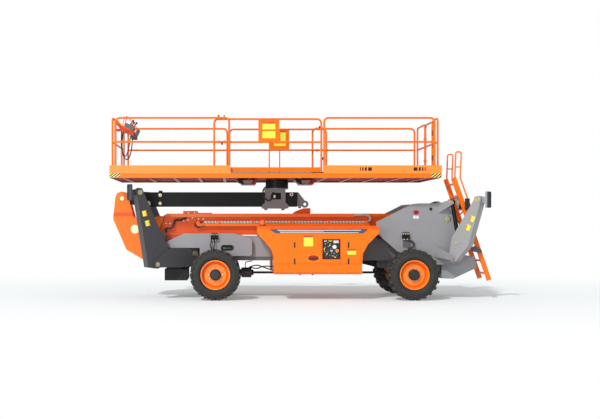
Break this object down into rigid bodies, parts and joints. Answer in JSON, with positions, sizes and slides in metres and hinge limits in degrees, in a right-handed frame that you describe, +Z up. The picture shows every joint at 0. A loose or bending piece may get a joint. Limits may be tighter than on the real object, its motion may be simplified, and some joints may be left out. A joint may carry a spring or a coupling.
{
  "type": "telescopic boom lift",
  "caption": "Four-wheeled lift with folding outriggers and a telescopic boom that carries a long railed work platform over the chassis.",
  "frame": {"origin": "on the ground, under the middle of the outline", "axes": "+X towards the ladder end, +Y to the far side of the picture, +Z up"},
  "size_m": [8.1523, 2.7258, 3.882],
  "materials": {
    "orange": "bright orange machine paint, satin gloss",
    "orange_shade": "orange machine paint inside the boom",
    "rim_orange": "orange wheel paint",
    "light_grey": "light grey machine paint",
    "mid_grey": "mid grey machine paint",
    "charcoal": "dark charcoal machine paint",
    "black_paint": "near black paint",
    "cast_grey": "cast engine block",
    "chrome_rod": "hard chromed rod",
    "hose_black": "matt black hoses and their tray",
    "beacon_amber": "clear amber plastic",
    "tyre": "black rubber"
  },
  "bodies": {
    "chassis": {"main_frame": "charcoal", "front_outrigger_beams": "charcoal", "front_weight": "charcoal", "front_body": "light_grey", "boom_towers": "light_grey", "rear_weight": "light_grey", "ladder": "orange", "side_trays": "orange", "drive_shaft": "charcoal", "front_axle": "charcoal", "rear_axle": "charcoal", "engine_block": "cast_grey", "ground_controls": "charcoal"},
    "hood_near": {"hood_near": "orange", "beacon": "beacon_amber"},
    "hood_far": {"hood_far": "orange"},
    "knuckle_near": {"knuckle_near": "charcoal"},
    "knuckle_far": {"knuckle_far": "charcoal"},
    "boom_base": {"boom_base": "orange", "hose_tray": "hose_black"},
    "boom_mid": {"boom_mid": "orange_shade"},
    "boom_fly": {"boom_fly": "orange"},
    "lift_barrel": {"lift_barrel": "black_paint"},
    "lift_rod": {"lift_rod": "chrome_rod"},
    "jib": {"jib": "black_paint", "jib_nose": "mid_grey", "jib_bracket": "mid_grey"},
    "jib_barrel": {"jib_barrel": "black_paint"},
    "jib_rod": {"jib_rod": "chrome_rod"},
    "platform": {"rotator": "black_paint", "platform_deck": "orange", "platform_rails": "orange", "end_rails": "orange", "console": "orange"},
    "side_gate_near": {"side_gate_near": "orange"},
    "side_gate_far": {"side_gate_far": "orange"},
    "end_gate": {"end_gate": "orange"},
    "wheel_front_near": {"tyre_front_near": "tyre", "rim_front_near": "rim_orange"},
    "outrigger_leg_front_near": {"outrigger_leg_front_near": "charcoal"},
    "outrigger_barrel_front_near": {"outrigger_barrel_front_near": "black_paint"},
    "outrigger_rod_front_near": {"outrigger_rod_front_near": "chrome_rod"},
    "wheel_front_far": {"tyre_front_far": "tyre", "rim_front_far": "rim_orange"},
    "outrigger_leg_front_far": {"outrigger_leg_front_far": "charcoal"},
    "outrigger_barrel_front_far": {"outrigger_barrel_front_far": "black_paint"},
    "outrigger_rod_front_far": {"outrigger_rod_front_far": "chrome_rod"},
    "wheel_rear_near": {"tyre_rear_near": "tyre", "rim_rear_near": "rim_orange"},
    "outrigger_leg_rear_near": {"outrigger_leg_rear_near": "light_grey"},
    "outrigger_barrel_rear_near": {"outrigger_barrel_rear_near": "black_paint"},
    "outrigger_rod_rear_near": {"outrigger_rod_rear_near": "chrome_rod"},
    "wheel_rear_far": {"tyre_rear_far": "tyre", "rim_rear_far": "rim_orange"},
    "outrigger_leg_rear_far": {"outrigger_leg_rear_far": "light_grey"},
    "outrigger_barrel_rear_far": {"outrigger_barrel_rear_far": "black_paint"},
    "outrigger_rod_rear_far": {"outrigger_rod_rear_far": "chrome_rod"}
  },
  "joints": [
    {"name": "steer_near", "type": "hinge", "parent": "chassis", "child": "knuckle_near", "pos_m": [-1.847, -0.7, 0.535], "axis": [0, 0, 1], "range_deg": [-25, 25]},
    {"name": "steer_far", "type": "hinge", "parent": "chassis", "child": "knuckle_far", "pos_m": [-1.847, 0.7, 0.535], "axis": [0, 0, 1], "range_deg": [-25, 25]},
    {"name": "spin_front_near", "type": "hinge", "parent": "knuckle_near", "child": "wheel_front_near", "pos_m": [-1.847, -0.9575, 0.535], "axis": [0, 1, 0], "continuous": true},
    {"name": "spin_front_far", "type": "hinge", "parent": "knuckle_far", "child": "wheel_front_far", "pos_m": [-1.847, 0.9575, 0.535], "axis": [0, 1, 0], "continuous": true},
    {"name": "spin_rear_near", "type": "hinge", "parent": "chassis", "child": "wheel_rear_near", "pos_m": [2.318, -0.9575, 0.535], "axis": [0, 1, 0], "continuous": true},
    {"name": "spin_rear_far", "type": "hinge", "parent": "chassis", "child": "wheel_rear_far", "pos_m": [2.318, 0.9575, 0.535], "axis": [0, 1, 0], "continuous": true},
    {"name": "outrigger_front_near", "type": "hinge", "parent": "chassis", "child": "outrigger_leg_front_near", "pos_m": [-3.133, -0.77, 0.749], "axis": [0.4695, -0.8829, 0], "range_deg": [0, 95]},
    {"name": "outrigger_front_near_barrel", "type": "hinge", "parent": "chassis", "child": "outrigger_barrel_front_near", "pos_m": [-2.35601, -0.35687, 0.964], "axis": [0.4695, -0.8829, 0], "range_deg": [0, 8.61]},
    {"name": "outrigger_front_near_rod", "type": "slide", "parent": "outrigger_barrel_front_near", "child": "outrigger_rod_front_near", "axis": [-0.882, -0.469, 0.046], "range_m": [0, 0.387]},
    {"name": "outrigger_front_far", "type": "hinge", "parent": "chassis", "child": "outrigger_leg_front_far", "pos_m": [-3.133, 0.77, 0.749], "axis": [-0.4695, -0.8829, 0], "range_deg": [0, 95]},
    {"name": "outrigger_front_far_barrel", "type": "hinge", "parent": "chassis", "child": "outrigger_barrel_front_far", "pos_m": [-2.35601, 0.35687, 0.964], "axis": [-0.4695, -0.8829, 0], "range_deg": [0, 8.61]},
    {"name": "outrigger_front_far_rod", "type": "slide", "parent": "outrigger_barrel_front_far", "child": "outrigger_rod_front_far", "axis": [-0.882, 0.469, 0.046], "range_m": [0, 0.387]},
    {"name": "outrigger_rear_near", "type": "hinge", "parent": "chassis", "child": "outrigger_leg_rear_near", "pos_m": [3.24, -0.785, 0.889], "axis": [0.6428, 0.766, 0], "range_deg": [0, 95]},
    {"name": "outrigger_rear_near_barrel", "type": "hinge", "parent": "chassis", "child": "outrigger_barrel_rear_near", "pos_m": [3.18944, -0.74258, 2.069], "axis": [0.6428, 0.766, 0], "range_deg": [-5.77, 0]},
    {"name": "outrigger_rear_near_rod", "type": "slide", "parent": "outrigger_barrel_rear_near", "child": "outrigger_rod_rear_near", "axis": [0.138, -0.1158, -0.9836], "range_m": [0, 0.477]},
    {"name": "outrigger_rear_far", "type": "hinge", "parent": "chassis", "child": "outrigger_leg_rear_far", "pos_m": [3.24, 0.785, 0.889], "axis": [-0.6428, 0.766, 0], "range_deg": [0, 95]},
    {"name": "outrigger_rear_far_barrel", "type": "hinge", "parent": "chassis", "child": "outrigger_barrel_rear_far", "pos_m": [3.18944, 0.74258, 2.069], "axis": [-0.6428, 0.766, 0], "range_deg": [-5.77, 0]},
    {"name": "outrigger_rear_far_rod", "type": "slide", "parent": "outrigger_barrel_rear_far", "child": "outrigger_rod_rear_far", "axis": [0.138, 0.1158, -0.9836], "range_m": [0, 0.477]},
    {"name": "boom_lift", "type": "hinge", "parent": "chassis", "child": "boom_base", "pos_m": [3.124, 0, 1.714], "axis": [0, 1, 0], "range_deg": [0, 70]},
    {"name": "lift_barrel_turn", "type": "hinge", "parent": "chassis", "child": "lift_barrel", "pos_m": [1.765, 0, 0.728], "axis": [0, 1, 0], "range_deg": [0, 72.6]},
    {"name": "lift_rod_slide", "type": "slide", "parent": "lift_barrel", "child": "lift_rod", "axis": [-0.9711, 0, 0.2387], "range_m": [0, 1.925]},
    {"name": "boom_extend_mid", "type": "slide", "parent": "boom_base", "child": "boom_mid", "axis": [-1, 0, 0], "range_m": [0, 4.2]},
    {"name": "boom_extend_fly", "type": "slide", "parent": "boom_mid", "child": "boom_fly", "axis": [-1, 0, 0], "range_m": [0, 4.2]},
    {"name": "jib_level", "type": "hinge", "parent": "boom_fly", "child": "jib", "pos_m": [-3.895, 0, 2.162], "axis": [0, 1, 0], "range_deg": [-70, 0]},
    {"name": "jib_barrel_turn", "type": "hinge", "parent": "boom_fly", "child": "jib_barrel", "pos_m": [-3.26, 0, 1.06], "axis": [0, 1, 0], "range_deg": [-8.2, 0]},
    {"name": "jib_rod_slide", "type": "slide", "parent": "jib_barrel", "child": "jib_rod", "axis": [-0.0722, 0, 0.9974], "range_m": [0, 0.635]},
    {"name": "platform_turn", "type": "hinge", "parent": "jib", "child": "platform", "pos_m": [-0.505, 0, 2.39], "axis": [0, 0, 1], "range_deg": [-90, 90]},
    {"name": "side_gate_near_slide", "type": "slide", "parent": "platform", "child": "side_gate_near", "axis": [-1, 0, 0], "range_m": [0, 2]},
    {"name": "side_gate_far_slide", "type": "slide", "parent": "platform", "child": "side_gate_far", "axis": [1, 0, 0], "range_m": [0, 2]},
    {"name": "end_gate_swing", "type": "hinge", "parent": "platform", "child": "end_gate", "pos_m": [2.812, 0.22, 3.2], "axis": [0, 0, -1], "range_deg": [0, 90]},
    {"name": "hood_near_lift", "type": "hinge", "parent": "chassis", "child": "hood_near", "pos_m": [0.285, -0.456, 1.523], "axis": [-1, 0, 0], "range_deg": [0, 60]},
    {"name": "hood_far_lift", "type": "hinge", "parent": "chassis", "child": "hood_far", "pos_m": [0.285, 0.456, 1.523], "axis": [1, 0, 0], "range_deg": [0, 60]}
  ],
  "couplings": [
    {"joint": "steer_far", "follows": "steer_near", "ratio": 1},
    {"joint": "outrigger_front_near_barrel", "follows": "outrigger_front_near", "ratio": 0.0896},
    {"joint": "outrigger_front_near_rod", "follows": "outrigger_front_near", "m_per_rad": 0.23205},
    {"joint": "outrigger_front_far_barrel", "follows": "outrigger_front_far", "ratio": 0.0896},
    {"joint": "outrigger_front_far_rod", "follows": "outrigger_front_far", "m_per_rad": 0.23205},
    {"joint": "outrigger_rear_near_barrel", "follows": "outrigger_rear_near", "ratio": -0.0597},
    {"joint": "outrigger_rear_near_rod", "follows": "outrigger_rear_near", "m_per_rad": 0.28625},
    {"joint": "outrigger_rear_far_barrel", "follows": "outrigger_rear_far", "ratio": -0.0597},
    {"joint": "outrigger_rear_far_rod", "follows": "outrigger_rear_far", "m_per_rad": 0.28625},
    {"joint": "lift_barrel_turn", "follows": "boom_lift", "ratio": 1.0345},
    {"joint": "lift_rod_slide", "follows": "boom_lift", "m_per_rad": 1.573},
    {"joint": "boom_extend_fly", "follows": "boom_extend_mid", "ratio": 1},
    {"joint": "jib_level", "follows": "boom_lift", "ratio": -1},
    {"joint": "jib_barrel_turn", "follows": "boom_lift", "ratio": -0.1138},
    {"joint": "jib_rod_slide", "follows": "boom_lift", "m_per_rad": 0.51818}
  ]
}
